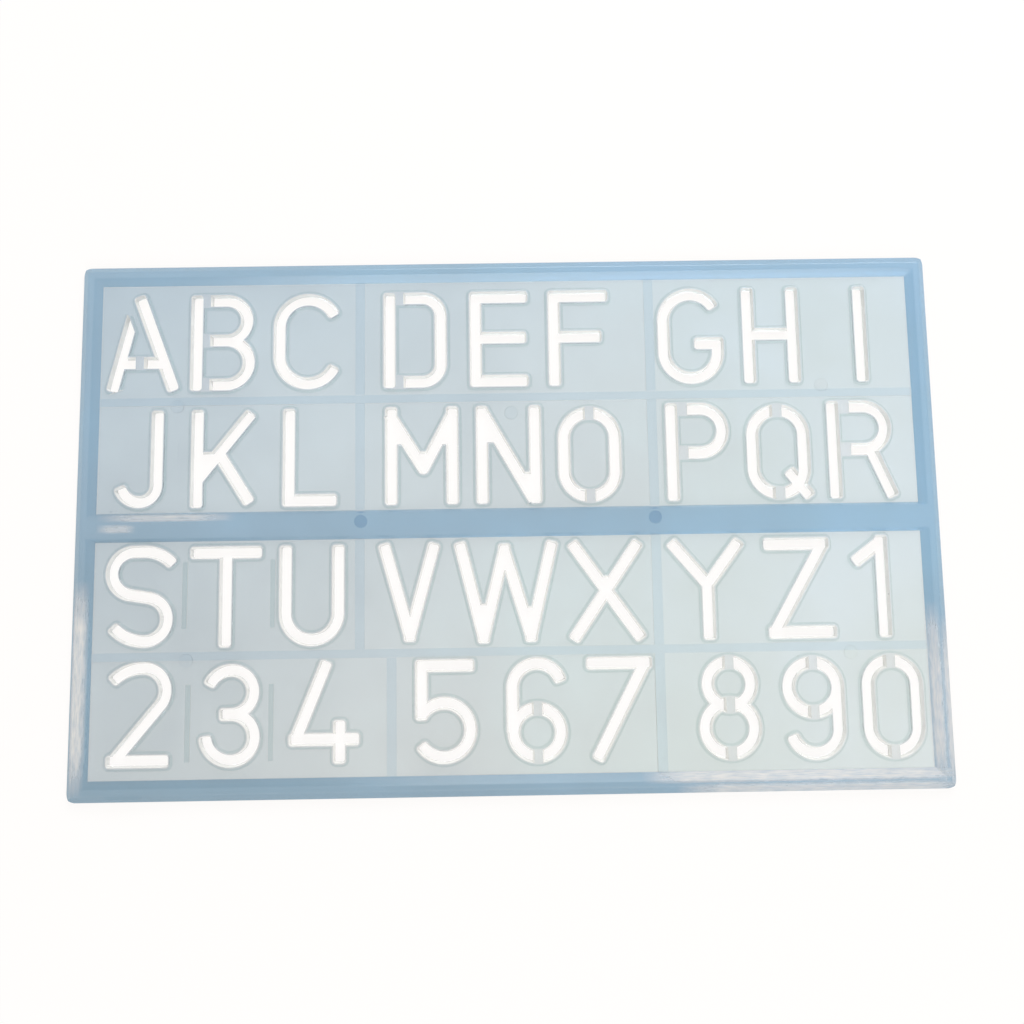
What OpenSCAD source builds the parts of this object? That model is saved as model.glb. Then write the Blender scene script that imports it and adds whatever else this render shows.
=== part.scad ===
// Lettering stencil: a one-shot moulded plate with 36 cut-out capitals and digits.
// Millimetres, +Z up, origin at the middle of the flat underside.
// +X runs along a line of letters, +Y towards the first line. The letters read from above.
//
// The plate is divided into named regions that meet face to face: four rails, a centre bar,
// the low flow bands between letter groups, and one tile for each letter or digit.

/* [Plate] */
// Overall length along a line of letters
plate_length = 262; // [255:1:280]
// Overall width across the four lines
plate_width = 162.5; // [160:0.5:175]
// Height of the rails and the centre bar
rail_height = 3; // [2.2:0.1:4]
// Thickness of the thin web around the letters
web = 1.1; // [0.8:0.1:1.6]
// Radius of the four outer corners, seen from above
corner_radius = 2.8; // [1:0.1:6]

/* [Rails] */
// Width of each border rail
rail_width = 6.2; // [5.8:0.1:7]
// Upright lip at the outer edge, under the bevel
rail_lip = 1; // [0.4:0.1:1.6]
// Run of the outer bevel
outer_bevel = 2.2; // [1:0.1:2.6]
// Run of the inner bevel, down to the web
inner_bevel = 2.4; // [1:0.1:2.8]
// Upper edge of the centre bar
bar_top = 4; // [3.6:0.1:4.2]
// Lower edge of the centre bar
bar_bottom = -4.8; // [-5:0.1:-4.4]
// Run of the bevels along the centre bar
bar_bevel = 1; // [0.5:0.1:2]

/* [Flow bands] */
// How far the bands stand above the web
band_rise = 0.3; // [0.1:0.05:0.6]
// Width of the two bands that run the length of the plate
row_band = 2.6; // [2:0.1:3]
// Lower edge of the band between the first and second lines
upper_band_y = 37; // [36.6:0.1:37.4]
// Lower edge of the band between the third and fourth lines
lower_band_y = -40.4; // [-40.6:0.1:-40]
// Width of the short bands between letter groups
column_band = 3; // [2:0.1:3]

/* [Letters] */
// Height of a letter between the centrelines of its top and bottom strokes
rise = 26.5; // [26:0.1:26.6]
// Width of a slot at the crest of its rim
slot_top = 3.7; // [3.2:0.1:4]
// Width of a slot at the underside
slot_bottom = 2.7; // [2.4:0.1:3.4]
// Height of the rim crest above the underside
rim_top = 2; // [1.5:0.1:2.4]
// Flat land on the crest, each side of a slot
rim_land = 0.25; // [0.1:0.05:0.4]
// Run of the outer slope of a rim, each side
rim_slope = 0.85; // [0.5:0.05:1.1]

/* [Small marks] */
// Diameter of the ejector pin marks in the underside
pin_mark = 4; // [3:0.1:5]
// Depth of the ejector pin marks
pin_depth = 0.2; // [0.1:0.05:0.4]
// Length of the bare oval pad on the lower rail
pad_length = 11.4; // [8:0.2:14]

/* [Hidden] */
$fn = 72;
half_x = plate_length / 2;
half_y = plate_width / 2;
inner_x = half_x - rail_width;
inner_y = half_y - rail_width;
band_top = web + band_rise;
upper_band_end = upper_band_y + row_band;
lower_band_end = lower_band_y + row_band;

// Each line of letters: lower tile edge, upper tile edge, height of the letters' baseline.
lines = [
    [upper_band_end, inner_y, 43.4],
    [bar_top, upper_band_y, 7.2],
    [lower_band_end, bar_bottom, -34.8],
    [-inner_y, lower_band_y, -69.5]
];

// Left edges of the bands between letter groups.
left_group = -46.5;
right_group = 43;
fourth_left_group = -37;

// How far a cut reaches past the surface it opens.
past = 0.4;

// Slots: half the width at the underside and at the crest, and the flat core of a stroke end.
half_low = slot_bottom / 2;
half_high = slot_top / 2;
draft = (half_high - half_low) / rim_top;
core = 0.85;

// The left leg of the A starts this far from its right leg, and reaches this far along it.
bridge_a = 5.1;
leg_reach = 24;

// How far an end piece is tucked into a curve, stands out of it, and is narrower each side.
tuck = 0.3;
ledge = 0.1;
inset = 0.03;

// Height where a rim starts inside the web, and how far its flank runs out for each mm down.
rim_root = web - past;
flank = rim_slope / (rim_top - web);

// Middles of the ejector pin marks.
pin_marks = [
    [-101.3, 37], [1.3, 33.6], [97.3, 41], [-97, -40.4], [102, -41], [-44.8, 0.6], [44.6, 0.6]
];

// Faint ribs between letters: left edge, lower end, upper end.
ribs = [[-98.2, -31, -11], [-71.9, -31, -10.5], [-96.6, -70, -47.5], [-72, -70, -47.5]];
rib_width = 1.5;

// The bare pad on the lower rail: its width, its middle and the height of its face.
pad_width = 3;
pad_place = [-113.8, -78.8];
pad_top = 2.85;

// Stroke tools. $lo and $hi are the heights of a stroke's section, $foot and $crest its
// half-widths there, so the same letter draws both its rim and its slot.

module slot_section() {
    $slot = true;
    $lo = -past;
    $hi = rim_top + past;
    $foot = half_low + draft * $lo;
    $crest = half_low + draft * $hi;
    children();
}

module rim_section() {
    $slot = false;
    $lo = rim_root;
    $hi = rim_top;
    $crest = half_high + rim_land;
    $foot = $crest + flank * (rim_top - rim_root);
    children();
}

// A straight run of a stroke's section along +X.
module bar(length) {
    rotate([90, 0, 90])
    linear_extrude(length)
    polygon([[-$foot, $lo], [$foot, $lo], [$crest, $hi], [-$crest, $hi]]);
}

// A square stroke end with two rounded corners, facing +X.
module cap() {
    edge = [[0, $lo], [$foot - core, $lo], [$crest - core, $hi], [0, $hi]];
    translate([0, core, 0])
    rotate([90, 0, 0])
    linear_extrude(2 * core)
    polygon(edge);
    for (side = [0, 1])
        translate([0, (1 - 2 * side) * core, 0])
        rotate(-90 * side)
        rotate_extrude(angle = 90)
        polygon(edge);
}

// The free end of a curve: a short straight piece tucked into the curve, a hair narrower.
module tip() {
    slim() {
        translate([-tuck, 0, 0]) bar(tuck + ledge);
        translate([ledge, 0, 0]) cap();
    }
}

// Draws its children with a slightly narrower section, so that none of their sides coincide
// with those of the stroke they are tucked into.
module slim() {
    $foot = $foot - inset;
    $crest = $crest - inset;
    children();
}

// A straight stroke. A free end is 1 and reaches half a stroke past its point. A buried end is 0.
module stroke(a, b, start = 0, finish = 0) {
    reach = b - a;
    length = norm(reach);
    translate(a)
    rotate(atan2(reach.y, reach.x)) {
        translate([-core * start, 0, 0])
        bar(length + core * (start + finish));
        if (finish == 1) translate([length + core, 0, 0]) cap();
        if (start == 1) translate([-core, 0, 0]) rotate(180) cap();
    }
}

// A curved stroke, counterclockwise from one angle to another.
module bow(centre, radius, from, to, start = 0, finish = 0) {
    translate(centre) {
        rotate_extrude(angle = to - from, start = from)
        polygon([
            [radius - $foot, $lo], [radius + $foot, $lo],
            [radius + $crest, $hi], [radius - $crest, $hi]
        ]);
        if (start == 1) rotate(from) translate([radius, 0, 0]) rotate(-90) tip();
        if (finish == 1) rotate(to) translate([radius, 0, 0]) rotate(90) tip();
    }
}

// A round join where two strokes meet at an angle.
module join(p) {
    translate([p.x, p.y, $lo])
    cylinder(h = $hi - $lo, r1 = $foot, r2 = $crest);
}

// A run of stroke between two curves, tucked into both.
module spine(a, b) {
    reach = b - a;
    translate(a)
    rotate(atan2(reach.y, reach.x))
    translate([-tuck, 0, 0])
    slim() bar(norm(reach) + 2 * tuck);
}

// The blunt bottom of a narrow angle between two strokes: a short stroke between two points
// on their centrelines, with the triangle down to where they meet cleared out.
module blunt(a, b, apex) {
    stroke(a, b);
    translate([0, 0, $lo])
    linear_extrude($hi - $lo)
    polygon([a, b, apex]);
}

// A bridge across a slot: x of its middle, lower end, upper end, and its width at the crest.
// It widens downward as the slot narrows.
module bridge(at) {
    low = -2 * past;
    high = rim_top + 2 * past;
    wide = at[3] / 2 + half_high - half_low - draft * low;
    narrow = at[3] / 2 + half_high - half_low - draft * high;
    translate([at[0], at[2], 0])
    rotate([90, 0, 0])
    linear_extrude(at[2] - at[1])
    polygon([[-wide, low], [wide, low], [narrow, high], [-narrow, high]]);
}

// Strokes interrupted by bridges. The rim runs on across them and stiffens them.
module bridged(bridges) {
    if ($slot)
        difference() {
            union() children();
            for (at = bridges) bridge(at);
        }
    else
        children();
}

function on_circle(centre, radius, angle) = centre + radius * [cos(angle), sin(angle)];

// Letters, each drawn from its own left stroke and baseline.

module draw_a() {
    apex = [7.9, rise];
    foot_right = [17.8, 0];
    lean = atan2(rise, apex.x - foot_right.x);
    stroke(apex, foot_right, 1, 1);
    bridged([[7.9, 3, 11, 2.5]]) stroke([1.8, 7.1], [15.1, 7.1]);
    intersection() {
        stroke([0, 0], [5.4, 22], 1, 0);
        translate(apex)
        rotate(lean + 90)
        translate([bridge_a, leg_reach, 0])
        rotate([90, 0, 0])
        linear_extrude(2 * leg_reach)
        polygon([
            [half_high - $foot, $lo], [leg_reach, $lo],
            [leg_reach, $hi], [half_high - $crest, $hi]
        ]);
    }
}

module draw_b() {
    waist = 13.9;
    x = 9.15;
    stroke([0, 0], [0, rise], 1, 1);
    bridged([[1.15, -3, 30, 6]]) {
        stroke([1, rise], [x, rise]);
        bow([x, (rise + waist) / 2], (rise - waist) / 2, -90, 90);
        stroke([1, waist], [x, waist]);
        bow([x, waist / 2], waist / 2, -90, 90);
        stroke([1, 0], [x, 0]);
    }
}

module draw_c() {
    r = 8.8;
    bow([r, rise - r], r, 30, 180, 1, 0);
    stroke([0, r], [0, rise - r]);
    bow([r, r], r, 180, 330, 0, 1);
}

module draw_d() {
    r = 5.7;
    x = 10.1;
    stroke([0, 0], [0, rise], 1, 1);
    bridged([[1.3, -3, 30, 6]]) {
        stroke([1, rise], [x, rise]);
        bow([x, rise - r], r, 0, 90);
        stroke([x + r, r], [x + r, rise - r]);
        bow([x, r], r, -90, 0);
        stroke([1, 0], [x, 0]);
    }
}

module draw_e() {
    stroke([0, 0], [0, rise], 1, 1);
    stroke([0, rise], [14.3, rise], 0, 1);
    stroke([0, 13.6], [13.8, 13.6], 0, 1);
    stroke([0, 0], [14.3, 0], 0, 1);
}

module draw_f() {
    stroke([0, 0], [0, rise], 1, 1);
    stroke([0, rise], [14.9, rise], 0, 1);
    stroke([0, 13.6], [12.8, 13.6], 0, 1);
}

module draw_g() {
    r = 8.3;
    shelf = 10.9;
    bow([r, rise - r], r, 35, 180, 1, 0);
    stroke([0, r], [0, rise - r]);
    bow([r, r], r, 180, 360);
    stroke([2 * r, r], [2 * r, shelf], 0, 1);
    stroke([2 * r, shelf], [11.2, shelf], 0, 1);
}

module draw_h() {
    stroke([0, 0], [0, rise], 1, 1);
    stroke([13.8, 0], [13.8, rise], 1, 1);
    stroke([0, 13.6], [13.8, 13.6]);
}

module draw_i() {
    stroke([0, 0], [0, rise], 1, 1);
}

module draw_j() {
    r = 5.1;
    hook = 6.2;
    stroke([0, r + 0.2], [0, rise], 0, 1);
    bow([-r, r + 0.2], r, -90, 0);
    bow([-r, hook + 0.2], hook, 203, 270, 1, 0);
}

module draw_k() {
    knee = [6.5, 14.8];
    stroke([0, 0], [0, rise], 1, 1);
    stroke([0, 6.6], [15.3, 25.9], 0, 1);
    stroke(knee, [15.2, 0.9], 0, 1);
    blunt([0, 13.4], [5.4, 13.4], [0, 6.6]);
}

module draw_l() {
    stroke([0, 0], [0, rise], 1, 1);
    stroke([0, 0], [12.8, 0], 0, 1);
}

module draw_m() {
    vertex = [9.8, 9.3];
    stroke([0, 0], [0, rise], 1, 1);
    stroke([18.6, 0], [18.6, rise], 1, 1);
    stroke([-0.7, 26.3], vertex);
    stroke([19, 26.8], vertex);
    join(vertex);
    blunt([7.8, 12.6], [11.5, 12.6], vertex);
    blunt([0, 18.6], [4, 18.6], [0, 25]);
    blunt([14.6, 18.4], [18.6, 18.4], [18.6, 26]);
}

module draw_n() {
    stroke([0, 0], [0, rise], 1, 1);
    stroke([16.2, 0], [16.2, rise], 1, 1);
    stroke([0.1, 26.7], [15.7, -0.9]);
    blunt([11.9, 5.9], [16.2, 5.9], [16.2, -0.9]);
    blunt([0, 18.8], [4.5, 18.8], [0, 26.5]);
}

// A round letter between two half circles.
module oval(r, low, high) {
    bow([r, high], r, 0, 180);
    stroke([0, low], [0, high]);
    bow([r, low], r, 180, 360);
    stroke([2 * r, low], [2 * r, high]);
}

module draw_o() {
    bridged([[7.9, -3, 30, 2.6]]) oval(7.8, 7.8, 17.9);
}

module draw_p() {
    waist = 12.9;
    r = (rise - waist) / 2;
    stroke([0, 0], [0, rise], 1, 1);
    bridged([[1.8, -3, 30, 6]]) {
        stroke([1, rise], [8.7, rise]);
        bow([8.7, waist + r], r, -90, 90);
        stroke([1, waist], [8.7, waist]);
    }
}

module draw_q() {
    bridged([[7.85, -3, 30, 2.8]]) oval(7.8, 7.8, 17.9);
    stroke([11.7, 5.7], [16, 0.2], 1, 1);
}

module draw_r() {
    waist = 13.2;
    r = (rise - waist) / 2;
    stroke([0, 0], [0, rise], 1, 1);
    bridged([[2.1, -3, 30, 6]]) {
        stroke([1, rise], [9.2, rise]);
        bow([9.2, waist + r], r, -90, 90);
        stroke([1, waist], [9.2, waist]);
    }
    stroke([11.1, waist + 0.3], [16.7, 0.1], 0, 1);
}

// The spine of the S is the line that touches both of its lobes.
module draw_s() {
    lobe = 6.5;
    upper = [lobe, 20.6];
    lower = [10.1, 6.8];
    between = lower - upper;
    turn = atan2(between.y, between.x) - acos(2 * lobe / norm(between));
    bow([9.7, 16.1], 11, 45, 90, 1, 0);
    stroke([9.7, 27.1], [lobe, 27.1]);
    bow(upper, lobe, 90, turn + 360);
    spine(on_circle(upper, lobe, turn), on_circle(lower, lobe, turn + 180));
    bow(lower, lobe, -90, turn + 180);
    bow([lower.x, 13.1], 12.8, 225, 270, 1, 0);
}

module draw_t() {
    stroke([0, 0], [0, rise], 1, 0);
    stroke([-8.9, rise], [8.9, rise], 1, 1);
}

module draw_u() {
    r = 7.9;
    stroke([0, r], [0, rise], 0, 1);
    bow([r, r], r, 180, 360);
    stroke([2 * r, r], [2 * r, rise], 0, 1);
}

module draw_v() {
    vertex = [7.3, 0.8];
    stroke([0, 26.7], vertex, 1, 0);
    stroke([14.4, 26.7], vertex, 1, 0);
    stroke([vertex.x, 6.4], vertex, 0, 1);
}

module draw_w() {
    left_foot = [6.6, 0];
    right_foot = [20.8, 0.2];
    peak = [13.1, 26.1];
    stroke([0, 26.8], left_foot, 1, 0);
    stroke(left_foot, peak);
    stroke(peak, right_foot);
    stroke(right_foot, [27.2, 26.8], 0, 1);
    stroke([left_foot.x, 2], left_foot, 0, 1);
    stroke([right_foot.x, 2], right_foot, 0, 1);
    stroke([peak.x, 20], peak, 0, 1);
    blunt([4.5, 8.1], [8.7, 8.1], left_foot);
    blunt([18.4, 7.1], [22.9, 7.1], right_foot);
}

module draw_x() {
    stroke([0, 26.5], [18.5, 0.2], 1, 1);
    stroke([18.2, 26.5], [0, 0.1], 1, 1);
    blunt([7.5, 15.9], [10.9, 15.9], [9.2, 13.4]);
}

module draw_y() {
    fork = [9.8, 14.7];
    stroke([0, 26.4], fork, 1, 0);
    stroke([18.7, 26.4], fork, 1, 0);
    stroke([9.8, 0], fork, 1, 0);
    join(fork);
}

module draw_z() {
    stroke([0, rise], [16, rise], 1, 1);
    stroke([16.2, rise], [0.7, 0]);
    stroke([0.6, 0], [17.2, 0], 1, 1);
}

module draw_1() {
    stroke([-7, 21.6], [0, 26.8], 1, 0);
    stroke([0, 0], [0, 26.9], 1, 1);
}

module draw_2() {
    hub = [8.8, 20.4];
    r = 6.75;
    fall = -39.8;
    bow([hub.x, 14.6], 12.55, 90, 132, 0, 1);
    bow(hub, r, fall, 90);
    spine(on_circle(hub, r, fall), [0.6, 0]);
    stroke([0.4, 0], [15.1, 0], 1, 1);
}

module draw_3() {
    waist = 13.2;
    upper = 6.45;
    lower = 6.75;
    x = 7.45;
    bow([x, waist - lower], lower, -90, 90);
    bow([x, waist + upper], upper, -90, 90);
    stroke([5.9, waist], [x, waist], 1, 0);
    bow([x, waist + 2 * upper - 7.15], 7.15, 90, 150, 0, 1);
    bow([x, waist - 2 * lower + 7.6], 7.6, 190, 270, 1, 0);
}

module draw_4() {
    shelf = 5.5;
    stroke([8.7, 26.7], [0.1, shelf], 1, 0);
    stroke([0, shelf], [17.2, shelf], 1, 1);
    stroke([13.1, 0.3], [13.1, 9.2], 1, 1);
}

module draw_5() {
    stroke([0, 12.4], [0, rise], 1, 1);
    stroke([0, rise], [13.9, rise], 0, 1);
    bow([6.6, 7.6], 7.9, -142, 146, 1, 0);
}

module draw_6() {
    crown = 7.3;
    r = 7;
    hub = [7.25, 6.5];
    bow([crown, 19.4], crown, 22, 180, 1, 0);
    stroke([0, hub.y], [0, 19.4]);
    bridged([[7.4, -3, 16, 2.4]]) bow(hub, r, 0, 360);
}

module draw_7() {
    stroke([0, rise], [15.9, rise], 1, 1);
    stroke([15.8, rise], [1.7, -0.2], 0, 1);
}

module draw_8() {
    bridged([[7.65, -3, 30, 2.5]]) {
        bow([7.6, 19.7], 6.5, 0, 360);
        bow([7.4, 6.8], 7.35, 0, 360);
    }
}

module draw_9() {
    hub = [7.2, 18.4];
    r = 7.3;
    back = hub.x + r;
    tail = 7.1;
    bridged([[7.45, 8, 30, 2.4]]) bow(hub, r, 0, 360);
    stroke([back, 6.2], [back, hub.y]);
    bow([back - tail, 6.2], tail, 202, 360, 1, 0);
}

module draw_0() {
    bridged([[7.1, -3, 30, 2.5]]) oval(7.2, 6.4, 18.7);
}

// Regions of the plate.

module slab(x0, x1, y0, y1, top) {
    translate([x0, y0, 0]) cube([x1 - x0, y1 - y0, top]);
}

module ejector_marks() {
    for (p = pin_marks)
        translate([p.x, p.y, -past])
        cylinder(h = pin_depth + past, d = pin_mark);
}

// A tile of web with one letter: its drafted slots, and the raised rim around them.
module tile(line, x0, x1, at) {
    span = lines[line];
    color("#aebfcf")
    difference() {
        union() {
            slab(x0, x1, span[0], span[1], web);
            for (r = ribs)
                if (r[0] > x0 && r[0] + rib_width < x1 && r[1] > span[0] && r[2] < span[1])
                    slab(r[0], r[0] + rib_width, r[1], r[2], band_top);
            intersection() {
                translate([at, span[2], 0]) rim_section() children();
                slab(x0, x1, span[0], span[1], rim_top + past);
            }
        }
        translate([at, span[2], 0]) slot_section() children();
        ejector_marks();
    }
}

module band(line, x0) {
    span = lines[line];
    color("#9db8d0")
    difference() {
        slab(x0, x0 + column_band, span[0], span[1], band_top);
        ejector_marks();
    }
}

module long_band(y0) {
    color("#9db8d0")
    difference() {
        slab(-inner_x, inner_x, y0, y0 + row_band, band_top);
        ejector_marks();
    }
}

// A rail of a given full length, its outer edge on the X axis, mitred at both ends.
module rail(length) {
    intersection() {
        translate([-length / 2, 0, 0])
        rotate([90, 0, 90])
        linear_extrude(length)
        polygon([
            [0, 0], [rail_width, 0], [rail_width, web],
            [rail_width - inner_bevel, rail_height], [outer_bevel, rail_height], [0, rail_lip]
        ]);
        linear_extrude(rail_height + past)
        polygon([
            [-length / 2, 0], [length / 2, 0],
            [length / 2 - rail_width, rail_width], [rail_width - length / 2, rail_width]
        ]);
    }
}

module outline() {
    long = plate_length - 2 * corner_radius;
    wide = plate_width - 2 * corner_radius;
    translate([0, 0, -past])
    linear_extrude(rail_height + 2 * past)
    union() {
        square([plate_length, wide], center = true);
        square([long, plate_width], center = true);
        for (x = [-1, 1], y = [-1, 1])
            translate([x * long / 2, y * wide / 2]) circle(r = corner_radius);
    }
}

module rail_top() {
    color("#8fb0cc")
    intersection() {
        translate([0, half_y, 0]) rotate(180) rail(plate_length);
        outline();
    }
}

module rail_bottom() {
    color("#8fb0cc")
    intersection() {
        union() {
            translate([0, -half_y, 0]) rail(plate_length);
            translate([pad_place.x, pad_place.y, 0])
            linear_extrude(pad_top)
            union() {
                square([pad_length - pad_width, pad_width], center = true);
                for (side = [-1, 1])
                    translate([side * (pad_length - pad_width) / 2, 0]) circle(d = pad_width);
            }
        }
        outline();
    }
}

module rail_left() {
    color("#8fb0cc")
    intersection() {
        translate([-half_x, 0, 0]) rotate(-90) rail(plate_width);
        outline();
    }
}

module rail_right() {
    color("#8fb0cc")
    intersection() {
        translate([half_x, 0, 0]) rotate(90) rail(plate_width);
        outline();
    }
}

module centre_bar() {
    color("#8fb0cc")
    difference() {
        intersection() {
            translate([-half_x, 0, 0])
            rotate([90, 0, 90])
            linear_extrude(plate_length)
            polygon([
                [bar_bottom, 0], [bar_top, 0], [bar_top, web],
                [bar_top - bar_bevel, rail_height], [bar_bottom + bar_bevel, rail_height],
                [bar_bottom, web]
            ]);
            // The ends lie on the rails' inner slopes, so that the tops run into one another.
            translate([0, bar_top + past, 0])
            rotate([90, 0, 0])
            linear_extrude(bar_top - bar_bottom + 2 * past)
            polygon([
                [-inner_x, -past], [inner_x, -past], [inner_x, web],
                [inner_x + inner_bevel, rail_height], [-inner_x - inner_bevel, rail_height],
                [-inner_x, web]
            ]);
        }
        ejector_marks();
    }
}

module band_upper() { long_band(upper_band_y); }
module band_lower() { long_band(lower_band_y); }
module band_one_left() { band(0, left_group); }
module band_one_right() { band(0, right_group); }
module band_two_left() { band(1, left_group); }
module band_two_right() { band(1, right_group); }
module band_three_left() { band(2, left_group); }
module band_three_right() { band(2, right_group); }
module band_four_left() { band(3, fourth_left_group); }
module band_four_right() { band(3, right_group); }

first_end = left_group;
second_start = left_group + column_band;
third_start = right_group + column_band;
fourth_start = fourth_left_group + column_band;

module letter_a() { tile(0, -inner_x, -99, -120.5) draw_a(); }
module letter_b() { tile(0, -99, -74.4, -95.3) draw_b(); }
module letter_c() { tile(0, -74.4, first_end, -69.8) draw_c(); }
module letter_d() { tile(0, second_start, -14.8, -35.9) draw_d(); }
module letter_e() { tile(0, -14.8, 10, -9.3) draw_e(); }
module letter_f() { tile(0, 10, right_group, 15) draw_f(); }
module letter_g() { tile(0, third_start, 70.3, 48.9) draw_g(); }
module letter_h() { tile(0, 70.3, 99.5, 75.2) draw_h(); }
module letter_i() { tile(0, 99.5, inner_x, 109.9) draw_i(); }

module letter_j() { tile(1, -inner_x, -100.7, -106.7) draw_j(); }
module letter_k() { tile(1, -100.7, -73, -94.5) draw_k(); }
module letter_l() { tile(1, -73, first_end, -66.6) draw_l(); }
module letter_m() { tile(1, second_start, -12.2, -35.4) draw_m(); }
module letter_n() { tile(1, -12.2, 12.9, -7.7) draw_n(); }
module letter_o() { tile(1, 12.9, right_group, 17.3) draw_o(); }
module letter_p() { tile(1, third_start, 70.4, 50.4) draw_p(); }
module letter_q() { tile(1, 70.4, 95.4, 75) draw_q(); }
module letter_r() { tile(1, 95.4, inner_x, 99.9) draw_r(); }

module letter_s() { tile(2, -inner_x, -98.4, -119.2) draw_s(); }
module letter_t() { tile(2, -98.4, -72, -85.1) draw_t(); }
module letter_u() { tile(2, -72, first_end, -67.2) draw_u(); }
module letter_v() { tile(2, second_start, -18.8, -37.3) draw_v(); }
module letter_w() { tile(2, -18.8, 16.3, -14.5) draw_w(); }
module letter_x() { tile(2, 16.3, right_group, 19.9) draw_x(); }
module letter_y() { tile(2, third_start, 73.5, 49.9) draw_y(); }
module letter_z() { tile(2, 73.5, 100.3, 78.7) draw_z(); }
module digit_1() { tile(2, 100.3, inner_x, 112.4) draw_1(); }

module digit_2() { tile(3, -inner_x, -97, -118) draw_2(); }
module digit_3() { tile(3, -97, -72.2, -90.4) draw_3(); }
module digit_4() { tile(3, -72.2, fourth_left_group, -64) draw_4(); }
module digit_5() { tile(3, fourth_start, -6, -26.6) draw_5(); }
module digit_6() { tile(3, -6, 19.5, 0.4) draw_6(); }
module digit_7() { tile(3, 19.5, right_group, 24.3) draw_7(); }
module digit_8() { tile(3, third_start, 77.4, 57.4) draw_8(); }
module digit_9() { tile(3, 77.4, 101.7, 82.6) draw_9(); }
module digit_0() { tile(3, 101.7, inner_x, 106.2) draw_0(); }

rail_top();
rail_bottom();
rail_left();
rail_right();
centre_bar();
band_upper();
band_lower();
band_one_left();
band_one_right();
band_two_left();
band_two_right();
band_three_left();
band_three_right();
band_four_left();
band_four_right();
letter_a();
letter_b();
letter_c();
letter_d();
letter_e();
letter_f();
letter_g();
letter_h();
letter_i();
letter_j();
letter_k();
letter_l();
letter_m();
letter_n();
letter_o();
letter_p();
letter_q();
letter_r();
letter_s();
letter_t();
letter_u();
letter_v();
letter_w();
letter_x();
letter_y();
letter_z();
digit_1();
digit_2();
digit_3();
digit_4();
digit_5();
digit_6();
digit_7();
digit_8();
digit_9();
digit_0();
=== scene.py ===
"""Dresses the lettering stencil: a one-shot moulding in translucent pale blue plastic.

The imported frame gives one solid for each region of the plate. Every region is copied, merged
and softened into a moulded piece, which then stands for its node. Where two regions meet, the
inner wall between them is one material all through in the real plate, so it gets a finish that
doesn't show.
"""

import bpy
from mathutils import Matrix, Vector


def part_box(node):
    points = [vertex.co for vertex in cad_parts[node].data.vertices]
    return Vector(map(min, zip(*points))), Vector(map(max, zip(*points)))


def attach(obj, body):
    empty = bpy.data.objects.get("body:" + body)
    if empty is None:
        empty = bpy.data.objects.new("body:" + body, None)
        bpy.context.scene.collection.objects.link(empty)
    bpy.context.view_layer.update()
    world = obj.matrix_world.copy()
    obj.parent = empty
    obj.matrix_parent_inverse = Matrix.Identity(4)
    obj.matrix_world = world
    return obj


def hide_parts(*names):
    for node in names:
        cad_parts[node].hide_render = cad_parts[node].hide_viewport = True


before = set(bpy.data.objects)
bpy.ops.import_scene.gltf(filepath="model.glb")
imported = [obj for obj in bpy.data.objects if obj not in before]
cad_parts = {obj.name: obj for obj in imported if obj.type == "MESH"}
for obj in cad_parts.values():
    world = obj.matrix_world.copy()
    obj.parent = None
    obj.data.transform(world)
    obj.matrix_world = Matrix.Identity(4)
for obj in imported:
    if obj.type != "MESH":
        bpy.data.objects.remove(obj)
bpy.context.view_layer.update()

import logging
import math
from dataclasses import dataclass
from enum import Enum
from itertools import product
from typing import ClassVar, Optional, Union

import bmesh
import bpy
from mathutils import Euler, Vector
from mathutils.bvhtree import BVHTree

log = logging.getLogger("stencil")

Triple = tuple[float, float, float]
Colour = tuple[float, float, float, float]
Socket = bpy.types.NodeSocket
Input = Union[float, Triple, Colour, Socket]

MM = 0.001

WEB_TOP = 1.1 * MM
BAND_TOP = 1.4 * MM
RAIL_TOP = 3.0 * MM
MARK_DEPTH = 0.2 * MM
INNER_X = 124.8 * MM
INNER_BEVEL = 2.4 * MM
BAR_EDGES = (-4.8 * MM, 4.0 * MM)
BAR_BEVEL = 1.0 * MM
EDGE = (131.0 * MM, 81.25 * MM)
HAIR = 0.004 * MM
WALL_GAP = 0.002 * MM


class Slot(Enum):
    """The record's material slots."""

    WEB = "web"
    BAND = "band"
    RAIL = "rail"


def linear(code: str) -> Colour:
    """Turns an sRGB colour into Blender's linear one.

    Args:
        code: The colour as a hex string, such as "#aebfcf".

    Returns:
        Red, green, blue and an alpha of 1.
    """
    parts = (int(code[i : i + 2], 16) / 255 for i in (1, 3, 5))
    red, green, blue = (
        c / 12.92 if c <= 0.04045 else ((c + 0.055) / 1.055) ** 2.4 for c in parts
    )
    return red, green, blue, 1.0


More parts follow.
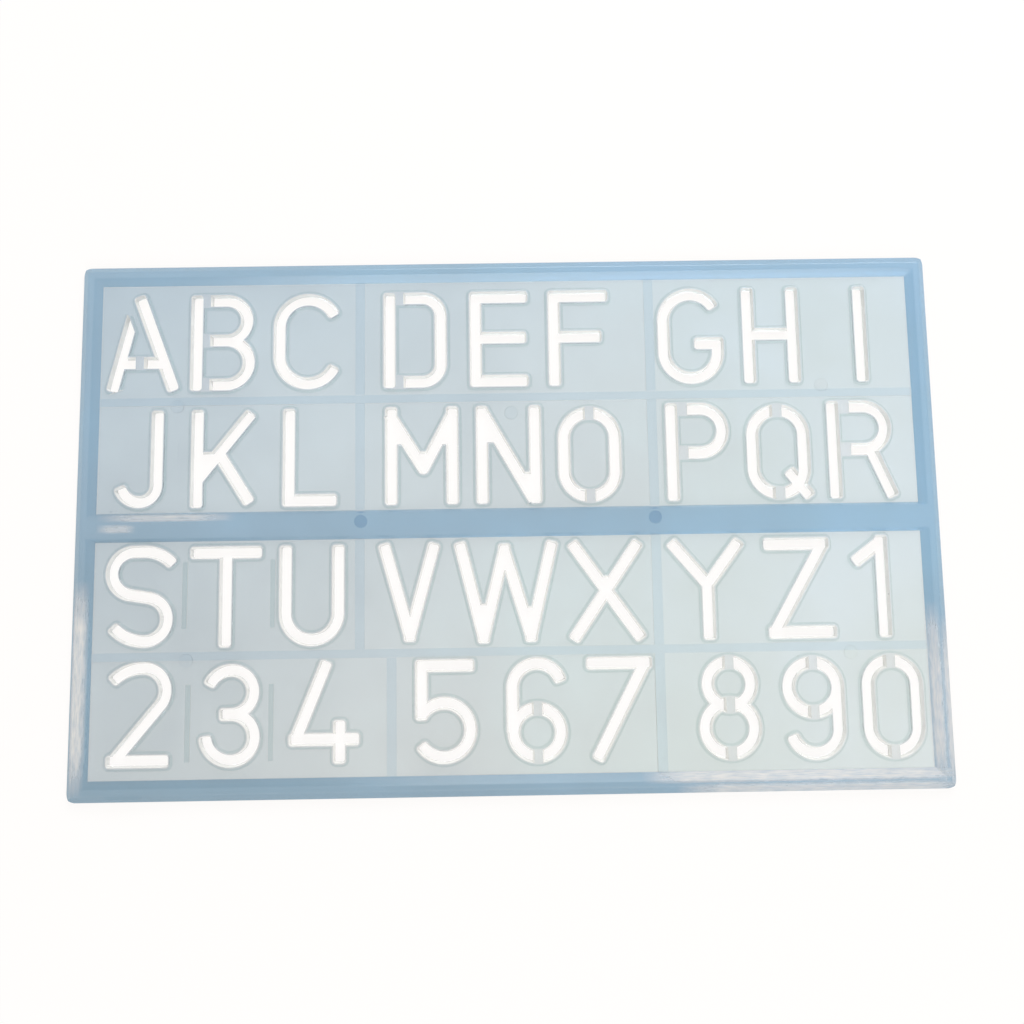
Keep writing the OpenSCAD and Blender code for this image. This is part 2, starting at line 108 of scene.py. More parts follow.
class NodeBoard:
    """A node tree, wired from the few kinds of node that the finishes need."""

    def __init__(self, tree: bpy.types.NodeTree) -> None:
        """Empties a node tree.

        Args:
            tree: The node tree.
        """
        self.tree = tree
        tree.nodes.clear()

    def add(
        self, kind: str, inputs: Optional[dict[object, Input]] = None, **attributes: object
    ) -> bpy.types.Node:
        """Adds a node.

        Args:
            kind: Blender's name of the node type.
            inputs: Values, or sockets to link, by the input's name or number.
            **attributes: Properties of the node itself.

        Returns:
            The new node.
        """
        node = self.tree.nodes.new(kind)
        for name, value in attributes.items():
            setattr(node, name, value)
        for key, value in (inputs or {}).items():
            if isinstance(value, Socket):
                self.tree.links.new(value, node.inputs[key])
            else:
                node.inputs[key].default_value = value
        return node

    def calculate(self, operation: str, *numbers: Input) -> Socket:
        """Calculates with one to three numbers."""
        return self.add(
            "ShaderNodeMath", dict(enumerate(numbers)), operation=operation
        ).outputs[0]

    def span(
        self, value: Input, start: float, end: float, low: float = 0.0, high: float = 1.0
    ) -> Socket:
        """Takes a value from one range to another, and keeps it inside.

        Args:
            value: The value.
            start: Where it gives the low end.
            end: Where it gives the high end. It may lie below the start.
            low: The low end.
            high: The high end.

        Returns:
            The value in its new range.
        """
        inputs = {"Value": value, "From Min": start, "From Max": end, "To Min": low, "To Max": high}
        return self.add("ShaderNodeMapRange", inputs).outputs["Result"]

    def mix(self, share: Input, under: Input, over: Input, way: str = "MIX") -> Socket:
        """Lays one colour over another by a share from 0 to 1."""
        return self.add(
            "ShaderNodeMix", {0: share, 6: under, 7: over}, data_type="RGBA", blend_type=way
        ).outputs[2]

    def axes(self, vector: Socket) -> bpy.types.NodeOutputs:
        """Splits a vector into sockets X, Y and Z."""
        return self.add("ShaderNodeSeparateXYZ", {0: vector}).outputs

    def noise(
        self, vector: Socket, size: float, detail: float, roughness: float = 0.5
    ) -> Socket:
        """Makes noise with lumps of a size."""
        inputs = {"Vector": vector, "Scale": 1 / size, "Detail": detail, "Roughness": roughness}
        return self.add("ShaderNodeTexNoise", inputs).outputs["Fac"]

    def seen_by(self, *rays: str) -> Socket:
        """Is 1 for rays of some kinds, such as "Is Camera Ray", and 0 for all others."""
        path = self.add("ShaderNodeLightPath").outputs
        seen: Input = 0.0
        for ray in rays:
            seen = self.calculate("MAXIMUM", seen, path[ray])
        return seen

    def finish(self, surface: Socket, output: str = "ShaderNodeOutputMaterial") -> None:
        """Wires the last shader to the output."""
        self.add(output, {"Surface": surface})


def new_material(name: str) -> tuple[bpy.types.Material, NodeBoard]:
    """Makes an empty material and its node board."""
    material = bpy.data.materials.new(name)
    material.use_nodes = True
    return material, NodeBoard(material.node_tree)


@dataclass(frozen=True)
class HighlightAndWear:
    """A stretch painted whitish, in millimetres: a painted highlight where light glances off a
    slope, with the scratches that handling left in it.
    """

    x: tuple[float, float]
    y: tuple[float, float]
    strength: float
    streak: ClassVar[tuple[float, float]] = (4.0, 0.6)
    streak_contrast: ClassVar[tuple[float, float]] = (0.32, 0.68)
    veil: ClassVar[float] = 0.45
    fade_share: ClassVar[float] = 0.3
    widest_fade: ClassVar[float] = 14.0

    @property
    def grain(self) -> Triple:
        """Streaks per metre: streaks run along the stretch, about 4 mm long and 0.6 mm wide."""
        coarse, fine = (1 / (size * MM) for size in self.streak)
        lengthwise = self.x[1] - self.x[0] > self.y[1] - self.y[0]
        return (coarse, fine, fine) if lengthwise else (fine, coarse, fine)

    def mask(self, board: NodeBoard, place: Socket) -> Socket:
        """Finds the painted highlight and its scratches: a thin whitish veil with denser streaks in
        it.

        Args:
            board: The material's node board.
            place: The place on the piece.

        Returns:
            How strongly the painted highlight and the scratches show, from 0 to 1, fading out at the
            sides of the stretch.
        """
        streaks = board.add("ShaderNodeMapping", {"Scale": self.grain, "Vector": place})
        noise = board.noise(streaks.outputs[0], size=1.0, detail=4.0)
        highlight_and_wear_mask = board.span(noise, *self.streak_contrast, self.veil * self.strength, self.strength)
        axes = board.axes(place)
        for axis, (low, high) in (("X", self.x), ("Y", self.y)):
            fade = min(self.fade_share * (high - low), self.widest_fade) * MM
            for side, way in ((low * MM, 1), (high * MM, -1)):
                inside = board.span(axes[axis], side, side + way * fade)
                highlight_and_wear_mask = board.calculate("MULTIPLY", highlight_and_wear_mask, inside)
        return highlight_and_wear_mask


@dataclass(frozen=True)
class MouldedPlastic:
    """Injection-moulded, blue-tinted transparent styrene plastic with a satin, handled skin.

    The tint is in the body of the plastic, so the eye sees a deeper blue where the plate is
    thicker. The underside is flat, so the height of the upper skin is the thickness below it, and
    the skin's tint follows that height: tints holds heights in millimetres with their colours. On
    the web, the tints also paint shade on the rims' slopes, a darker grey-blue than their crests.
    Upright faces get painted light and shade: the drafted slot walls are painted whitish, the
    rails' outer walls a dark blue-grey. The side tones mix the plastic's own tone, which its age
    varies, with painted light and shade across the plate: deeper to the left, paler to the right,
    bluer above and more neutral below.
    """

    name: str
    tints: tuple[tuple[float, str], ...]
    highlights_and_wear: tuple[HighlightAndWear, ...] = ()
    # Side tones: painted light and shade mixed with the plastic's own tone, multiplied into the
    # tint.
    left_painted_shading_and_tone: Colour = (0.86, 0.88, 0.9, 1)
    right_painted_shading_and_tone: Colour = (1.28, 1.22, 1.14, 1)
    lower_painted_shading_and_tone: Colour = (1.05, 0.97, 0.9, 1)
    upper_painted_shading_and_tone: Colour = (0.95, 0.95, 0.95, 1)
    # Upright faces' tone: a whitish painted light on the slot walls; the rails paint theirs a dark
    # blue-grey shade.
    wall: str = "#fbfaf6"
    wall_milkiness: float = 0.65
    milkiness: ClassVar[float] = 0.12
    roughness: ClassVar[float] = 0.22
    highlight_and_wear_roughness: ClassVar[float] = 0.4
    refraction: ClassVar[float] = 1.5
    highlight_and_scratch_tone: ClassVar[str] = "#f2f2ee"
    dust: ClassVar[str] = "#59636b"
    dust_strength: ClassVar[float] = 0.7
    speck_spacing: ClassVar[float] = 20 * MM
    speck_radii: ClassVar[tuple[float, float]] = (0.28 * MM, 0.14 * MM)
    cloud_size: ClassVar[float] = 70 * MM
    painted_shading_and_tone_slopes: ClassVar[tuple[float, float]] = (3.2, 6.2)
    wall_rise: ClassVar[tuple[float, float]] = (0.45, 0.25)

    def build(self) -> bpy.types.Material:
        """Builds the material.

        Returns:
            The node material.
        """
        material, board = new_material(self.name)
        place = board.add("ShaderNodeTexCoord").outputs["Object"]
        upright = self.uprightness(board)
        highlight_and_wear_mask = self.highlight_and_wear_mask(board, place)
        # Painted light and shade, mixed with the plastic's own varying tone, across the plate.
        tint = self.painted_shading_and_tone(board, place, self.body_tint(board, place))
        # Painted light and shade on the upright faces: whitish on the slot walls, dark blue-grey on
        # the rails' outer walls.
        tint = board.mix(upright, tint, linear(self.wall))
        # Painted highlight, with real scratches in it, on the slopes of the rails and the bar.
        tint = board.mix(highlight_and_wear_mask, tint, linear(self.highlight_and_scratch_tone))
        tint = board.mix(self.specks(board, place), tint, linear(self.dust))
        inputs = {
            "Base Color": tint,
            "IOR": self.refraction,
            "Transmission Weight": board.span(
                upright, 0, 1, 1 - self.milkiness, 1 - self.wall_milkiness
            ),
            "Roughness": board.span(highlight_and_wear_mask, 0, 1, self.roughness, self.highlight_and_wear_roughness),
        }
        board.finish(board.add("ShaderNodeBsdfPrincipled", inputs).outputs["BSDF"])
        return material

    def body_tint(self, board: NodeBoard, place: Socket) -> Socket:
        """Tints the skin by the thickness below it; the web's ramp also holds painted shade on the
        rims' slopes.

        Args:
            board: The material's node board.
            place: The place on the piece.

        Returns:
            The colour.
        """
        share = board.calculate("DIVIDE", board.axes(place)["Z"], RAIL_TOP)
        ramp = board.add("ShaderNodeValToRGB", {"Fac": share})
        stops = ramp.color_ramp.elements
        for height, code in self.tints[1:-1]:
            stops.new(height * MM / RAIL_TOP).color = linear(code)
        stops[0].color = linear(self.tints[0][1])
        stops[-1].color = linear(self.tints[-1][1])
        return ramp.outputs["Color"]

    def painted_shading_and_tone(self, board: NodeBoard, place: Socket, tint: Socket) -> Socket:
        """Varies the tint over the plate: from side to side and from bottom to top, with soft
        clouds in it.

        Args:
            board: The material's node board.
            place: The place on the piece.
            tint: The even tint.

        Returns:
            The varied tint.
        """
        # Painted light and shade with the plastic's own tone: the side tones multiply the tint,
        # brighter on one side of the plate and darker on the other.
        cloud = board.noise(place, self.cloud_size, detail=3.0, roughness=0.6)
        axes = board.axes(place)
        ends = ((self.left_painted_shading_and_tone, self.right_painted_shading_and_tone), (self.lower_painted_shading_and_tone, self.upper_painted_shading_and_tone))
        for axis, slope, (low, high) in zip("XY", self.painted_shading_and_tone_slopes, ends):
            share = board.calculate("MULTIPLY_ADD", axes[axis], slope, cloud)
            tint = board.mix(1.0, tint, board.mix(share, low, high), "MULTIPLY")
        return tint

    def uprightness(self, board: NodeBoard) -> Socket:
        """Finds the drafted slot walls.

        Args:
            board: The material's node board.

        Returns:
            1 on faces that stand upright, 0 on flat ones and on the rims' slopes.
        """
        normal = board.add("ShaderNodeNewGeometry").outputs["True Normal"]
        rise = board.calculate("ABSOLUTE", board.axes(normal)["Z"])
        return board.span(rise, *self.wall_rise)

    def highlight_and_wear_mask(self, board: NodeBoard, place: Socket) -> Input:
        """Finds the whitish painted highlights and scratches.

        Args:
            board: The material's node board.
            place: The place on the piece.

        Returns:
            How strongly the painted highlights and scratches show, from 0 to 1.
        """
        total: Input = 0.0
        for highlights_and_wear in self.highlights_and_wear:
            total = board.calculate("MAXIMUM", total, highlights_and_wear.mask(board, place))
        return total

    def specks(self, board: NodeBoard, place: Socket) -> Socket:
        """Finds the dust specks, one or none in each cell of the plate.

        Args:
            board: The material's node board.
            place: The place on the piece.

        Returns:
            How much dust there is, from 0 to 1.
        """
        cells = board.add(
            "ShaderNodeTexVoronoi", {"Scale": 1 / self.speck_spacing, "Vector": place}
        ).outputs["Distance"]
        outer, inner = (radius / self.speck_spacing for radius in self.speck_radii)
        return board.span(cells, outer, inner, high=self.dust_strength)


@dataclass(frozen=True)
class InnerWall:
    """The unseen wall inside the plastic where two regions meet: the plate is one moulding, so
    the eye sees nothing there."""

    name: str

    def build(self) -> bpy.types.Material:
        """Builds the material.

        Returns:
            A clear material.
        """
        material, board = new_material(self.name)
        clear = board.add("ShaderNodeBsdfPrincipled", {"Alpha": 0.0, "IOR": 1.5})
        board.finish(clear.outputs["BSDF"])
        return material


@dataclass(frozen=True)
class WhitePaper:
    """Smooth white paper: the eye sees it bright and even, with the plate's soft shadow on it.

    Seen directly, or through or in the plastic, it glows faintly and keeps the shadow. To light
    that bounces it is plain matt paper.
    """

    name: str
    tone: str = "#fcf9f6"
    glow: float = 0.94
    shadow_tone: Colour = (0.09, 0.1, 0.11, 1)
    matt_tone: str = "#f4f4f4"

    def build(self) -> bpy.types.Material:
        """Builds the material.

        Returns:
            The node material.
        """
        material, board = new_material(self.name)
        seen = board.seen_by("Is Camera Ray", "Is Glossy Ray", "Is Transmission Ray")
        glow = board.add("ShaderNodeEmission", {"Color": linear(self.tone), "Strength": self.glow})
        shaded = board.add("ShaderNodeBsdfDiffuse", {"Color": self.shadow_tone})
        both = board.add("ShaderNodeAddShader", {0: glow.outputs[0], 1: shaded.outputs[0]})
        matt = board.add("ShaderNodeBsdfDiffuse", {"Color": linear(self.matt_tone)})
        mix = board.add("ShaderNodeMixShader", {0: seen, 1: matt.outputs[0], 2: both.outputs[0]})
        board.finish(mix.outputs[0])
        return material


def select_only(piece: bpy.types.Object) -> None:
    """Makes a piece the only selected and the active one."""
    bpy.ops.object.select_all(action="DESELECT")
    piece.select_set(True)
    bpy.context.view_layer.objects.active = piece


def measure(mesh: bpy.types.Mesh) -> tuple[bool, float, float]:
    """Measures a mesh.

    Args:
        mesh: The mesh.

    Returns:
        Whether it is closed everywhere, its volume and its area, by the metre.
    """
    shape = bmesh.new()
    shape.from_mesh(mesh)
    closed = all(edge.is_manifold for edge in shape.edges)
    volume = shape.calc_volume()
    shape.free()
    mesh.calc_loop_triangles()
    return closed, volume, sum(triangle.area for triangle in mesh.loop_triangles)


def folded_area(mesh: bpy.types.Mesh) -> float:
    """Measures how much of a mesh's faces is folded over.

    Args:
        mesh: The mesh.

    Returns:
        The area of the triangles that face against their own face.
    """
    mesh.calc_loop_triangles()
    return sum(
        triangle.area
        for triangle in mesh.loop_triangles
        if triangle.normal.dot(mesh.polygons[triangle.polygon_index].normal) < 0
    )


class Master:
    """A node's own solid, by which a softened copy is judged."""

    volume_slack = 0.005
    area_slack = 0.02
    most_folded = 0.03 * MM * MM

    def __init__(self, solid: bpy.types.Object) -> None:
        """Takes the measures of the solid.

        Args:
            solid: The node.
        """
        mesh = solid.data
        self.surface = BVHTree.FromPolygons(
            [vertex.co for vertex in mesh.vertices],
            [list(polygon.vertices) for polygon in mesh.polygons],
        )
        _, self.volume, self.area = measure(mesh)

    def accepts(self, mesh: bpy.types.Mesh, stray: float) -> bool:
        """Says whether a softened copy is sound.

        Args:
            mesh: The copy.
            stray: How far a point may lie off the solid's surface.

        Returns:
            Whether it is closed, keeps its volume and area, strays nowhere and has no fold.
        """
        closed, volume, area = measure(mesh)
        return (
            closed
            and abs(volume / self.volume - 1) < self.volume_slack
            and abs(area / self.area - 1) < self.area_slack
            and all(self.surface.find_nearest(vertex.co, stray)[0] for vertex in mesh.vertices)
            and folded_area(mesh) < self.most_folded
        )


@dataclass(frozen=True)
class Plane:
    """A plane, given by its normal and how far along it the plane lies."""

    normal: Vector
    reach: float

    @classmethod
    def through(cls, place: Triple, normal: Triple) -> "Plane":
        """Makes the plane through a place, with a normal of any length."""
        unit = Vector(normal).normalized()
        return cls(unit, Vector(place).dot(unit))

    def height(self, point: Vector) -> float:
        """How far a point lies above the plane."""
        return point.dot(self.normal) - self.reach


@dataclass(frozen=True)
class Meeting:
    """A face in which a region meets a neighbour, as far as the neighbour covers it."""

    plane: Plane
    cover: tuple[Plane, ...] = ()
    ends_region: bool = True

    def covers(self, point: Vector) -> bool:
        """Says whether a point is under the neighbour's cover."""
        return all(limit.height(point) < HAIR for limit in self.cover)

    def hides(self, points: list[Vector]) -> bool:
        """Says whether some points all lie in the face where the neighbour covers it."""
        return all(abs(self.plane.height(p)) < HAIR and self.covers(p) for p in points)


WEB = Plane(Vector((0, 0, 1)), WEB_TOP)
BAND = Plane(Vector((0, 0, 1)), BAND_TOP)
SLOPE = (RAIL_TOP - WEB_TOP, INNER_BEVEL)
SIDE_SLOPES = tuple(
    Plane.through((way * INNER_X, 0, WEB_TOP), (-way * SLOPE[0], 0, SLOPE[1])) for way in (-1, 1)
)
BAR_SIDES = tuple(
    Plane.through((0, edge, WEB_TOP), (0, math.copysign(RAIL_TOP - WEB_TOP, edge), BAR_BEVEL))
    for edge in BAR_EDGES
)


@dataclass
class MouldedRegion:
    """One region of the plate, copied from its node and softened as a moulding is."""

    node: str
    slot: ClassVar[Slot] = Slot.WEB
    softening: ClassVar[float] = 0.09 * MM
    segments: ClassVar[int] = 2
    crease: ClassVar[float] = math.radians(24)
    level_angle: ClassVar[float] = math.radians(0.6)
    smooth_angle: ClassVar[float] = math.radians(28)
    shares: ClassVar[tuple[float, ...]] = (1.0, 0.6, 0.45, 0.3, 0.15)
    slivers: ClassVar[tuple[float, ...]] = (0.04 * MM, 0.02 * MM)
    stray_share: ClassVar[float] = 0.6

    def build(self) -> bpy.types.Object:
        """Models the piece.

        Returns:
            The finished piece, at the origin, unturned.
        """
        meetings = self.meetings()
        piece = self.softened(meetings)
        piece.name = f"moulded_{self.node}"
        self.close_walls(piece, meetings)
        select_only(piece)
        bpy.ops.object.shade_smooth_by_angle(angle=self.smooth_angle)
        flat_first = piece.modifiers.new("flat faces stay flat", "WEIGHTED_NORMAL")
        flat_first.keep_sharp = True
        bpy.ops.object.modifier_apply(modifier=flat_first.name)
        return piece

    def softened(self, meetings: list[Meeting]) -> bpy.types.Object:
        """Copies the node with rounded edges: by less where strokes run together too tightly.

        Args:
            meetings: Its meetings with its neighbours.

        Returns:
            The new piece.

        Raises:
            RuntimeError: If no rounding leaves a sound piece.
        """
        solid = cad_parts[self.node]
        master = Master(solid)
        for share, sliver in product(self.shares, self.slivers):
            piece = self.merged(solid, sliver, meetings)
            self.soften(piece, meetings, share * self.softening)
            if master.accepts(piece.data, self.stray_share * self.softening):
                log.info("%s: softened by %.2f of the full width", self.node, share)
                return piece
            bpy.data.objects.remove(piece)
        raise RuntimeError(f"{self.node} can't be softened")

    def merged(
        self, solid: bpy.types.Object, sliver: float, meetings: list[Meeting]
    ) -> bpy.types.Object:
        """Copies a node's loose triangles into one clean shell, cut where neighbours end.

        Args:
            solid: The node.
            sliver: Edges shorter than this are closed up.
            meetings: Its meetings with its neighbours.

        Returns:
            The new piece.
        """
        piece = bpy.data.objects.new("shell", solid.data.copy())
        piece.data.materials.clear()
        bpy.context.scene.collection.objects.link(piece)
        select_only(piece)
        bpy.ops.object.mode_set(mode="EDIT")
        bpy.ops.mesh.select_all(action="SELECT")
        bpy.ops.mesh.remove_doubles(threshold=HAIR)
        bpy.ops.mesh.dissolve_limited(angle_limit=self.level_angle)
        bpy.ops.mesh.dissolve_degenerate(threshold=sliver)
        bpy.ops.mesh.select_all(action="SELECT")
        bpy.ops.mesh.delete_loose()
        limits: list[Plane] = []
        for meeting in meetings:
            limits += [limit for limit in meeting.cover if limit not in limits]
        for limit in limits:
            bpy.ops.mesh.select_all(action="SELECT")
            bpy.ops.mesh.bisect(plane_co=limit.normal * limit.reach, plane_no=limit.normal)
        bpy.ops.mesh.select_all(action="DESELECT")
        bpy.ops.object.mode_set(mode="OBJECT")
        return piece

    def meetings(self) -> list[Meeting]:
        """Finds where the region meets its neighbours.

        Returns:
            One meeting for each side that isn't the plate's own edge.
        """
        low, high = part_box(self.node)
        found = []
        for axis, (way, corner) in product((0, 1), ((-1, low), (1, high))):
            if abs(corner[axis]) < EDGE[axis] - HAIR:
                normal = Vector((0, 0, 0))
                normal[axis] = way
                side = Plane(normal, way * corner[axis])
                found.append(Meeting(side, (self.top_of_neighbour(axis),)))
        return found

    def top_of_neighbour(self, axis: int) -> Plane:
        """The top of what lies along an axis from the region."""
        return WEB

    def crisp(self, ends: list[Vector]) -> bool:
        """Says whether an edge between two points stays crisp."""
        return False

    def soften(self, piece: bpy.types.Object, meetings: list[Meeting], width: float) -> None:
        """Rounds the moulded edges, and leaves those where regions meet.

        Args:
            piece: The piece being modelled.
            meetings: Its meetings with its neighbours.
            width: Width of the rounding.
        """
        mesh = piece.data
        faces: dict[tuple[int, int], list[Vector]] = {}
        for polygon in mesh.polygons:
            for key in polygon.edge_keys:
                faces.setdefault(key, []).append(polygon.normal.copy())
        for edge in mesh.edges:
            ends = [mesh.vertices[i].co for i in edge.vertices]
            normals = faces.get(tuple(sorted(edge.vertices)), [])
            sharp = len(normals) == 2 and normals[0].angle(normals[1], 0.0) > self.crease
            hidden = any(meeting.hides(ends) for meeting in meetings)
            edge.select = sharp and not hidden and not self.crisp(ends)
        bpy.ops.object.mode_set(mode="EDIT")
        bpy.ops.mesh.select_mode(type="EDGE")
        bpy.ops.mesh.bevel(
            offset=width, segments=self.segments, affect="EDGES", clamp_overlap=False
        )
        bpy.ops.mesh.select_all(action="DESELECT")
        bpy.ops.object.mode_set(mode="OBJECT")

    def close_walls(self, piece: bpy.types.Object, meetings: list[Meeting]) -> None:
        """Marks the inner walls, and sets them a hair apart so that light leaves one region
        before it enters the next.

        Args:
            piece: The piece being modelled.
            meetings: Its meetings with its neighbours.
        """
        mesh = piece.data
        for polygon in mesh.polygons:
            points = [mesh.vertices[i].co for i in polygon.vertices]
            if any(meeting.hides(points) for meeting in meetings):
                polygon.material_index = 1
        bottom, top = (corner[2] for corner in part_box(self.node))
        for vertex in mesh.vertices:
            vertex.co.z = min(max(vertex.co.z, bottom), top)
            for meeting in meetings:
                over = meeting.plane.height(vertex.co)
                if meeting.hides([vertex.co]) or meeting.ends_region and over > -HAIR:
                    vertex.co -= meeting.plane.normal * (over + WALL_GAP)

    def dress(
        self, piece: bpy.types.Object, skin: bpy.types.Material, wall: bpy.types.Material
    ) -> None:
        """Args:
            piece: The finished piece.
            skin: The plastic.
            wall: The inner walls' finish.
        """
        piece.data.materials.append(skin)
        piece.data.materials.append(wall)
        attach(piece, "root")
        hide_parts(self.node)


class LetterTile(MouldedRegion):
    """A stretch of thin web with one letter or digit, its raised rims and its slots."""


class FlowBand(MouldedRegion):
    """A low band that stands a little above the web."""

    slot = Slot.BAND


class ColumnBand(FlowBand):
    """A short band between letter groups, which runs into the long bands at its ends."""

    def top_of_neighbour(self, axis: int) -> Plane:
        """The long bands cover its ends to their full height."""
        return BAND if axis == 1 else WEB


class ThickRegion(MouldedRegion):
    """A region of full thickness, whose edges are worn rounder than the letters'."""

    slot = Slot.RAIL
    softening = 0.3 * MM
    segments = 3

    def crisp(self, ends: list[Vector]) -> bool:
        """The foot and the ejector pin marks in it are as the mould left them."""
        return max(point.z for point in ends) < MARK_DEPTH + HAIR


class Bar(ThickRegion):
    """The centre bar, which runs out on the side rails' inner slopes."""

    def meetings(self) -> list[Meeting]:
        """Finds where the bar meets its neighbours.

        Returns:
            Its meetings with the web, and with the feet and inner slopes of the side rails.
        """
        found = [m for m in super().meetings() if abs(m.plane.normal.y) > 0.5]
        for way, slope in zip((-1, 1), SIDE_SLOPES):
            foot = Plane(Vector((way, 0, 0)), INNER_X)
            found.append(Meeting(foot, (WEB,), ends_region=False))
            found.append(Meeting(Plane(-slope.normal, -slope.reach), ends_region=False))
        return found


class Rail(ThickRegion):
    """A border rail, which meets the next ones in mitres."""

    def meetings(self) -> list[Meeting]:
        """Finds where the rail meets its neighbours.

        Returns:
            Its meetings with the web, with the next rails and, for a side rail, with the bar.
        """
        low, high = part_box(self.node)
        across = 0 if high[1] - low[1] > high[0] - low[0] else 1
        outer = math.copysign(1, low[across] + high[across])
        found = [m for m in super().meetings() if abs(m.plane.normal[across]) > 0.5]
        for end in (-1, 1):
            corner = [end * EDGE[0], end * EDGE[1], 0]
            corner[across] = outer * EDGE[across]
            normal = [end, end, 0]
            normal[across] = -outer
            found.append(Meeting(Plane.through(corner, normal)))
        if across == 0:
            slope = SIDE_SLOPES[0 if outer < 0 else 1]
            found.append(Meeting(slope, BAR_SIDES, ends_region=False))
        return found


class PaddedRail(Rail):
    """The lower rail, whose small bare pad has room for a tighter softening only."""

    softening = 0.12 * MM


@dataclass(frozen=True)
class Lamp:
    """A soft rectangular lamp that points at the plate, in metres and watts."""

    name: str
    place: Triple
    power: float
    width: float = 0.9
    height: float = 0.35

    def build(self) -> None:
        """Hangs the lamp."""
        data = bpy.data.lights.new(self.name, "AREA")
        data.shape = "RECTANGLE"
        data.size = self.width
        data.size_y = self.height
        data.energy = self.power
        lamp = bpy.data.objects.new(self.name, data)
        lamp.location = self.place
        lamp.rotation_euler = (-Vector(self.place)).to_track_quat("-Z", "Y").to_euler()
        bpy.context.scene.collection.objects.link(lamp)


@dataclass(frozen=True)
class Studio:
    """Camera, floor, room and lamps. The camera's place is in millimetres, its turn in degrees."""

    lens: float = 35.16
    sensor: float = 36.0
    nearest: float = 10 * MM
    camera_place: Triple = (-1.026, -32.568, 302.66)
    camera_turn: Triple = (6.6854, -0.296, -0.9106)
    floor_side: float = 6.0
    floor_drop: float = 0.3 * MM
    room_tone: str = "#f2f5f8"
    room_strength: float = 0.6
    lamps: tuple[Lamp, ...] = (
        Lamp("lamp_upper", (0.25, 0.75, 0.55), 6.0),
        Lamp("lamp_lower", (0.1, -0.85, 0.6), 4.0),
    )

    def build(self) -> None:
        """Sets up the whole studio."""
        self.add_camera()
        self.add_floor()
        self.add_room()
        for lamp in self.lamps:
            lamp.build()
        bpy.context.scene.view_settings.view_transform = "Standard"

    def add_camera(self) -> None:
        """Sets the camera at the photograph's angle."""
        data = bpy.data.cameras.new("camera")
        data.lens = self.lens
        data.sensor_width = self.sensor
        data.clip_start = self.nearest
        camera = bpy.data.objects.new("camera", data)
        camera.location = Vector(self.camera_place) * MM
        camera.rotation_euler = Euler([math.radians(a) for a in self.camera_turn])
        bpy.context.scene.collection.objects.link(camera)
        bpy.context.scene.camera = camera

    def add_floor(self) -> None:
        """Lays the paper just under the plate."""
        bpy.ops.object.select_all(action="DESELECT")
        bpy.ops.mesh.primitive_plane_add(size=self.floor_side, location=(0, 0, -self.floor_drop))
        floor = bpy.context.object
        floor.name = "floor"
        floor.data.materials.append(WhitePaper("white paper").build())

    def add_room(self) -> None:
        """Lights the plate from an even pale room, which the camera sees as white."""
        world = bpy.data.worlds.new("room")
        bpy.context.scene.world = world
        world.use_nodes = True
        board = NodeBoard(world.node_tree)
        seen = board.seen_by("Is Camera Ray", "Is Transmission Ray")
        room = board.add(
            "ShaderNodeBackground", {"Color": linear(self.room_tone), "Strength": self.room_strength}
        )
        white = board.add("ShaderNodeBackground", {"Color": linear("#ffffff"), "Strength": 1.0})
        mix = board.add("ShaderNodeMixShader", {0: seen, 1: room.outputs[0], 2: white.outputs[0]})
        board.finish(mix.outputs[0], "ShaderNodeOutputWorld")


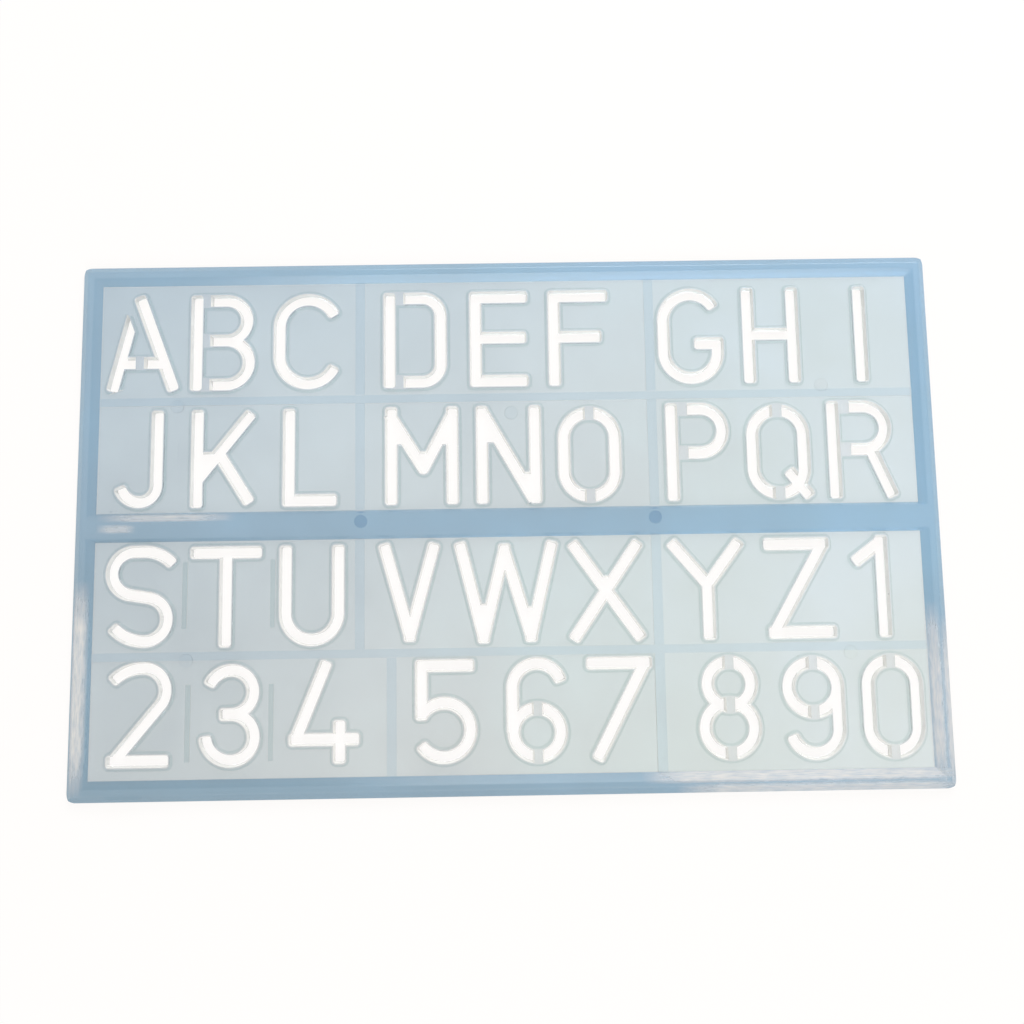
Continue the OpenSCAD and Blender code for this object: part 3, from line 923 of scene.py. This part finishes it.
PLASTICS = {
    Slot.WEB: MouldedPlastic(
        "tinted styrene, thin",
        tints=(
            (0.0, "#f8f8f8"),
            (0.55, "#dce5ec"),
            # Painted shade: the rims' slopes, 1.25 to 1.85 mm up, are a darker grey-blue than the
            # web and the rims' crests.
            (1.1, "#b9d2e4"),
            (1.25, "#a3c2d2"),
            (1.85, "#a6c2d2"),
            (2.0, "#bfd2e4"),
            (3.0, "#bfd2e4"),
        ),
    ),
    Slot.BAND: MouldedPlastic(
        "tinted styrene, band",
        tints=(
            (0.0, "#f8f8f8"),
            (0.55, "#dce5ec"),
            (1.1, "#b2cee2"),
            (1.4, "#a9c8e0"),
            (3.0, "#a9c8e0"),
        ),
    ),
    Slot.RAIL: MouldedPlastic(
        "tinted styrene, thick",
        tints=(
            (0.0, "#f8f8f8"),
            (0.3, "#86abc9"),
            (1.1, "#6499c4"),
            (2.7, "#6096c2"),
            (3.0, "#6ca1cc"),
        ),
        # Painted highlights where light glances off the rails' and bar's slopes, with real scratches
        # in them.
        highlights_and_wear=(
            HighlightAndWear((124.4, 128.4), (-84.0, -26.0), 0.7),
            HighlightAndWear((127.8, 132.4), (-84.0, -30.0), 0.7),
            HighlightAndWear((38.0, 136.0), (-78.4, -74.2), 0.8),
            HighlightAndWear((48.0, 136.0), (-82.4, -78.0), 0.65),
            HighlightAndWear((-130.6, -125.6), (-80.0, -16.0), 0.9),
            HighlightAndWear((-124.0, -82.0), (1.0, 3.8), 0.6),
            HighlightAndWear((-124.0, -112.0), (-2.4, 0.6), 0.5),
        ),
        # Painted light and shade with the plastic's own tone: brighter to the right and above,
        # darker to the left and below.
        left_painted_shading_and_tone=(1.04, 0.91, 0.84, 1),
        right_painted_shading_and_tone=(1.2, 1.1, 1.05, 1),
        lower_painted_shading_and_tone=(0.88, 0.88, 0.86, 1),
        upper_painted_shading_and_tone=(1.08, 1.07, 1.08, 1),
        # Painted shade: a dark blue-grey on the rails' upright outer walls.
        wall="#5f7d90",
        wall_milkiness=0.2,
    ),
}


def region_of(node: str) -> MouldedRegion:
    """Picks the kind of region that a node is.

    Args:
        node: The node's name.

    Returns:
        The region, not yet built.
    """
    if node.startswith(("letter", "digit")):
        return LetterTile(node)
    if node in ("band_upper", "band_lower"):
        return FlowBand(node)
    if node.startswith("band"):
        return ColumnBand(node)
    if node == "centre_bar":
        return Bar(node)
    return PaddedRail(node) if node == "rail_bottom" else Rail(node)


def main() -> None:
    """Builds the plate, then the studio."""
    logging.basicConfig(level=logging.INFO)
    skins = {slot: plastic.build() for slot, plastic in PLASTICS.items()}
    wall = InnerWall("inside of the moulding").build()
    for region in map(region_of, sorted(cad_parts)):
        piece = region.build()
        region.dress(piece, skins[region.slot], wall)
        log.info("%s: %d faces", piece.name, len(piece.data.polygons))
    Studio().build()


if __name__ == "__main__":
    main()
